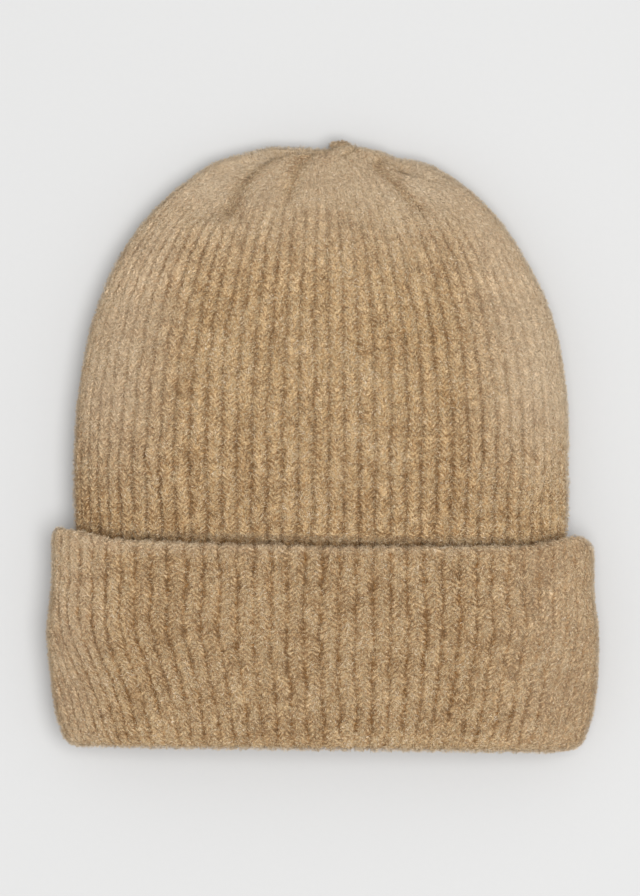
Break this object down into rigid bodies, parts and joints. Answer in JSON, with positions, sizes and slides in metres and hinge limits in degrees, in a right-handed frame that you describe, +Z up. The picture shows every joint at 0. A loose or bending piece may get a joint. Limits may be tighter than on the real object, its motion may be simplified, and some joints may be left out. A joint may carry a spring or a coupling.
{
  "type": "beanie",
  "caption": "Brushed rib-knit wool beanie with a deep turned-up cuff and a darted crown, lying flat on its back, with the head opening at the cuff's fold.",
  "frame": {"origin": "on the table, under the middle of the hat's outline as it lies on its back", "axes": "+Z up through the hat's thickness; +Y towards the crown, the head opening faces -Y; X across"},
  "size_m": [0.226, 0.251, 0.036],
  "materials": {
    "body_knit": "brushed wool rib knit, camel",
    "cuff_knit": "brushed wool rib knit, camel",
    "seam_yarn": "twisted wool yarn, camel",
    "label_tape": "satin tape, blank"
  },
  "bodies": {
    "hat": {"body_tube": "body_knit", "crown_gore_front": "body_knit", "crown_gore_back": "body_knit", "crown_gore_left": "body_knit", "crown_gore_right": "body_knit", "dart_seam_front_left": "seam_yarn", "dart_seam_front_right": "seam_yarn", "dart_seam_back_left": "seam_yarn", "dart_seam_back_right": "seam_yarn", "crown_tip": "body_knit", "gather_thread": "seam_yarn", "back_seam": "seam_yarn", "label_stitches": "seam_yarn"},
    "cuff": {"cuff_panel": "cuff_knit", "cuff_fold": "cuff_knit", "cast_on_edge": "cuff_knit", "cuff_back_seam": "seam_yarn"},
    "care_label": {"care_label": "label_tape"}
  },
  "joints": [
    {"name": "cuff_turn_down", "type": "slide", "parent": "hat", "child": "cuff", "axis": [0, -1, 0], "range_m": [0, 0.04]},
    {"name": "label_lift", "type": "hinge", "parent": "hat", "child": "care_label", "pos_m": [0.00235, 0.016, 0.0053], "axis": [0, -1, 0], "range_deg": [0, 35]}
  ]
}
